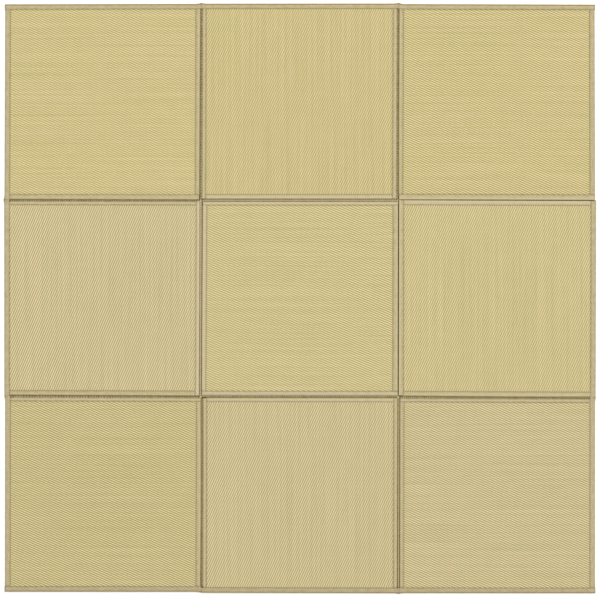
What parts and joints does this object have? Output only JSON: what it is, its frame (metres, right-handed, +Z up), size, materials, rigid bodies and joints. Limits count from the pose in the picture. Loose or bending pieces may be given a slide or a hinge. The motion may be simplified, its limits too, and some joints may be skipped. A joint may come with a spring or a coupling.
{
  "type": "foldable tatami mat",
  "caption": "Flat square floor mat of woven rush panels, bound in cloth tape and joined by sewn folding seams, with an open slit at one side.",
  "frame": {"origin": "middle of the mat's underside", "axes": "+Z up through the mat, +X to the edge that the open slit reaches, +Y to the edge at the top of the picture"},
  "size_m": [1.8086, 1.8032, 0.01],
  "materials": {
    "rush_weave": "matte",
    "binding_tape": "matte",
    "joining_thread": "matte"
  },
  "bodies": {
    "root": {"panel_r1c1": "rush_weave", "panel_r1c2": "rush_weave", "panel_r1c3": "rush_weave", "panel_r2c1": "rush_weave", "panel_r2c2": "rush_weave", "panel_r2c3": "rush_weave", "panel_r3c1": "rush_weave", "panel_r3c2": "rush_weave", "panel_r3c3": "rush_weave", "tape_r1c1_foot": "binding_tape", "tape_r1c1_right": "binding_tape", "tape_r1c2_left": "binding_tape", "tape_r1c2_foot": "binding_tape", "tape_r1c2_right": "binding_tape", "tape_r1c3_left": "binding_tape", "tape_r1c3_foot": "binding_tape", "tape_r2c1_foot": "binding_tape", "tape_r2c1_right": "binding_tape", "tape_r2c1_top": "binding_tape", "tape_r2c2_left": "binding_tape", "tape_r2c2_foot": "binding_tape", "tape_r2c2_right": "binding_tape", "tape_r2c2_top": "binding_tape", "tape_r2c3_left": "binding_tape", "tape_r2c3_foot": "binding_tape", "tape_r2c3_top": "binding_tape", "tape_r3c1_right": "binding_tape", "tape_r3c1_top": "binding_tape", "tape_r3c2_left": "binding_tape", "tape_r3c2_right": "binding_tape", "tape_r3c2_top": "binding_tape", "tape_r3c3_left": "binding_tape", "tape_r3c3_top": "binding_tape", "rim_tape_left": "binding_tape", "rim_tape_foot": "binding_tape", "rim_tape_right_lower": "binding_tape", "rim_tape_right_upper": "binding_tape", "rim_tape_top": "binding_tape"}
  },
  "joints": []
}
